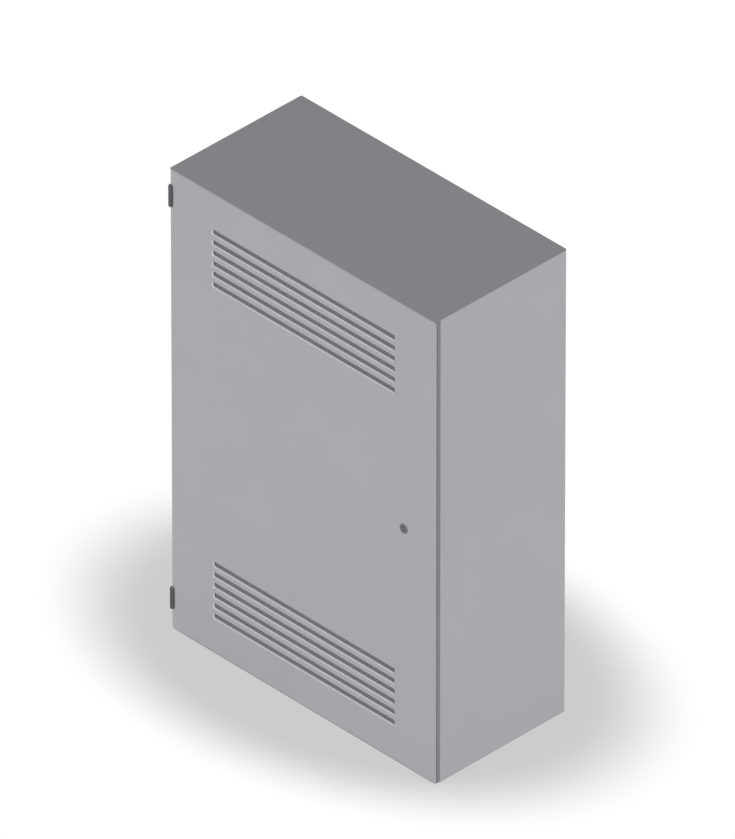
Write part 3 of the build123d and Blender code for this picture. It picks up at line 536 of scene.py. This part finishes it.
def threaded_stud(length, radius, pitch, per_pitch=5, around=20):
    """Stud along +Z from zero: radius minus a triangle wave that turns once per pitch."""
    rows = int(length / pitch * per_pitch) + 1
    level = np.linspace(0, length, rows)[:, None]
    angle = np.linspace(0, 2 * np.pi, around, endpoint=False)[None, :]
    phase = (level / pitch - angle / (2 * np.pi)) % 1
    groove = GROOVE_SHARE * pitch * (1 - np.abs(2 * phase - 1))
    into_end = np.clip(CHAMFER_RUN_SHARE - (length - level) / pitch, 0, 1)
    r = radius - np.maximum(groove, into_end * CHAMFER_DEPTH_SHARE * pitch)
    body = np.stack([r * np.cos(angle), r * np.sin(angle), level * np.ones_like(angle)], axis=-1)
    ends = np.zeros((2, around, 3))
    ends[1, :, 2] = length
    return np.concatenate([ends[:1], body, ends[1:]])


print("groove depth is", GROOVE_SHARE, "of the pitch")

# %% Threaded studs
PLATE_STUD_RADIUS, PLATE_STUD_PITCH = 4 * MM, 1.25 * MM
FILTER_STUD_RADIUS, FILTER_STUD_PITCH = 2.5 * MM, 0.8 * MM


def stud_corners(name, stud_node, body, radius, pitch, way):
    """Threaded studs at the four corners of a node's box, pointing along Y with the sign of way."""
    low, high, _ = box_of(stud_node)
    stud = threaded_stud(high[1] - low[1], radius, pitch)
    axis = np.array([0.0, way, 0.0])
    side = np.roll(axis, 1)
    turned = stud[..., :1] * side + stud[..., 1:2] * np.cross(axis, side) + stud[..., 2:] * axis
    root = low[1] if way > 0 else high[1]
    places = [(x, root, z) for x in (low[0] + radius, high[0] - radius)
              for z in (low[2] + radius, high[2] - radius)]
    sheets = turned[None] + np.array(places)[:, None, None, :]
    return surface(name, sheets, grid_faces(*stud.shape[:2], close_columns=True), body,
                   "zinc_plated_steel", stud_node)


stud_corners("plate_stud_threads", "plate_studs", "cabinet", PLATE_STUD_RADIUS, PLATE_STUD_PITCH, -1)
for vent in ("upper", "lower"):
    stud_corners(vent + "_filter_stud_threads", vent + "_filter_studs", "door",
                 FILTER_STUD_RADIUS, FILTER_STUD_PITCH, 1)

# %% [markdown]
# ## Floor
#
# The cabinet stands on white paper, with a soft shadow where it meets the ground. The floor therefore
# shows white to the camera, and this shadow is painted into its colour as a grey ellipse round the base.
# Ambient occlusion paints in the shade of whatever else comes near, such as the open door, and a dark
# line in the gap under the door. For all rays that only carry light it is an ordinary pale floor that
# throws light back up.

# %% Painted shadow and rays
PAINTED_SHADOW_CENTRE, PAINTED_SHADOW_HALF, PAINTED_SHADOW_TURN = (-0.047, 0.042, 0), (0.812, 0.552, 1), 7.0


def painted_shadow_radius(tree):
    """Place on the floor, turned and in units of the painted shadow's half sizes: 1 on the rim of its
    ellipse.
    """
    turned = node(tree, "Mapping", {
        "Vector": node(tree, "TexCoord", output="Object"), "Location": PAINTED_SHADOW_CENTRE,
        "Rotation": (0, 0, math.radians(PAINTED_SHADOW_TURN)), "Scale": PAINTED_SHADOW_HALF,
    }, "Vector", vector_type="TEXTURE")
    return node(tree, "VectorMath", {0: turned}, "Value", operation="LENGTH")


def seen_directly(tree):
    """1 for rays from the camera, off a gloss or through glass, and 0 for rays that only carry light."""
    rays = node(tree, "LightPath").outputs
    seen = rays["Is Camera Ray"]
    for name in ("Is Glossy Ray", "Is Transmission Ray"):
        seen = node(tree, "Math", {0: seen, 1: rays[name]}, "Value", operation="MAXIMUM")
    return seen


print("smudge of", PAINTED_SHADOW_HALF[0], "by", PAINTED_SHADOW_HALF[1], "m half size, turned by", PAINTED_SHADOW_TURN, "degrees")

# %% Floor
FLOOR_HALF, NEAR_REACH, PAINTED_SHADOW_CORE = 60.0, 0.2, 0.633
NEAR_SHADE = {"From Min": 0.5, "From Max": 0.95}
GAP_SHADE = {"From Min": 0.15, "From Max": 0.45}
PAPER_WHITE, PAINTED_SHADOW_GREY, GAP_SHADE_GREY, BOUNCE_WHITE = "#FFFFFF", "#CCCCCD", "#58595B", "#EDEDED"
material, tree = new_material("pale_floor_with_painted_shadow")
near = node(tree, "AmbientOcclusion", {"Distance": NEAR_REACH}, "AO", samples=16)
steps = [{"Value": painted_shadow_radius(tree), "From Min": PAINTED_SHADOW_CORE}, {"Value": near, **NEAR_SHADE},
         {"Value": near, **GAP_SHADE}]
painted_shadow, beside, under = (node(tree, "MapRange", step, "Result", interpolation_type="SMOOTHSTEP")
                         for step in steps)
light = node(tree, "Math", {0: painted_shadow, 1: beside}, "Value", operation="MINIMUM")
paper = linear(PAPER_WHITE)
# Painted shadow: the grey ellipse and the occlusion shade are mixed into the floor's colour here.
for amount, grey in ((light, PAINTED_SHADOW_GREY), (under, GAP_SHADE_GREY)):
    paper = node(tree, "MixRGB", {"Fac": amount, "Color1": linear(grey), "Color2": paper}, "Color")
shown = node(tree, "Emission", {"Color": paper}, "Emission")
bounce = node(tree, "BsdfDiffuse", {"Color": linear(BOUNCE_WHITE)}, "BSDF")
mixed = node(tree, "MixShader", {0: seen_directly(tree), 1: bounce, 2: shown}, "Shader")
node(tree, "OutputMaterial", {"Surface": mixed})

ends = (-FLOOR_HALF, FLOOR_HALF)
floor_mesh = bpy.data.meshes.new("floor")
floor_mesh.from_pydata([(x, y, 0) for y in ends for x in ends], [], [(0, 1, 3, 2)])
floor_mesh.materials.append(material)
floor = bpy.data.objects.new("floor", floor_mesh)
bpy.context.scene.collection.objects.link(floor)
print("floor of", 2 * FLOOR_HALF, "m, shaded within", NEAR_REACH, "m of what stands on it")

# %% [markdown]
# ## Light
#
# The light is an even white sky with one wide lamp from the camera's side, so the front and the side get
# the same amount and the paint renders as it is written. A weaker lamp lights the back, and throws no
# highlight on the roof. Rays that are seen directly find a white sky, whatever its strength as a light.

# %% Light
SKY_LEVEL, LAMP_SPREAD = 0.4, 30
LAMPS = {"wide_soft_lamp": (45, 40, 2.15), "low_back_lamp": (225, 10, 1.2)}
LAMPS_WITH_HIGHLIGHT = ("wide_soft_lamp",)


def direction(azimuth, elevation):
    """Unit vector from the cabinet towards a viewer: azimuth from the front towards +X, then upwards."""
    a, e = math.radians(azimuth), math.radians(elevation)
    return Vector((math.sin(a) * math.cos(e), -math.cos(a) * math.cos(e), math.sin(e)))


world = bpy.data.worlds.new("even_white_sky")
world.use_nodes = True
sky = world.node_tree
sky.nodes.clear()
level = node(sky, "MapRange", {"Value": seen_directly(sky), "To Min": SKY_LEVEL, "To Max": 1.0}, "Result")
background = node(sky, "Background", {"Color": linear("#FFFFFF"), "Strength": level}, "Background")
node(sky, "OutputWorld", {"Surface": background})
bpy.context.scene.world = world
bpy.context.scene.view_settings.view_transform = "Standard"

for name, (azimuth, elevation, energy) in LAMPS.items():
    lamp = bpy.data.lights.new(name, "SUN")
    lamp.energy, lamp.angle = energy, math.radians(LAMP_SPREAD)
    lamp_object = bpy.data.objects.new(name, lamp)
    lamp_object.rotation_mode = "QUATERNION"
    lamp_object.rotation_quaternion = direction(azimuth, elevation).to_track_quat("Z", "Y")
    lamp_object.visible_glossy = name in LAMPS_WITH_HIGHLIGHT
    bpy.context.scene.collection.objects.link(lamp_object)
print("lamps:", ", ".join(LAMPS))

# %% [markdown]
# ## Camera
#
# The picture is an isometric view, in which parallel edges stay parallel. An orthographic camera would
# give exactly that, but it would cut off the open door in other views. A very long lens far away comes
# close and still behaves as a lens there. Its focal length follows from the scale: so many pixels for
# each metre of cabinet. The picture's middle lies off the origin, so the camera is moved sideways and up
# by that much.

# %% Camera
PICTURE_HEIGHT_PX, PIXELS_PER_METRE, DISTANCE, SENSOR = 839, 472.6, 70.0, 36.0
CAMERA_AZIMUTH, CAMERA_ELEVATION = 45.67, 35.02
CENTRE_RIGHT, CENTRE_UP = -2.0 * MM, 531.3 * MM
camera = bpy.data.cameras.new("long_lens")
camera.sensor_width = SENSOR
camera.lens = SENSOR * DISTANCE / (PICTURE_HEIGHT_PX / PIXELS_PER_METRE)
camera.clip_end = 2 * DISTANCE
back = direction(CAMERA_AZIMUTH, CAMERA_ELEVATION)
right = Vector((0, 0, 1)).cross(back).normalized()
up = back.cross(right)
middle = sum((Vector(corner) for corner in cad_box), Vector()) / 2
aim = right * CENTRE_RIGHT + up * CENTRE_UP + back * middle.dot(back)
camera_object = bpy.data.objects.new("long_lens", camera)
camera_object.location = aim + back * DISTANCE
camera_object.rotation_mode = "QUATERNION"
camera_object.rotation_quaternion = back.to_track_quat("Z", "Y")
bpy.context.scene.collection.objects.link(camera_object)
bpy.context.scene.camera = camera_object
print("camera lens", round(camera.lens), "mm at", DISTANCE, "m")
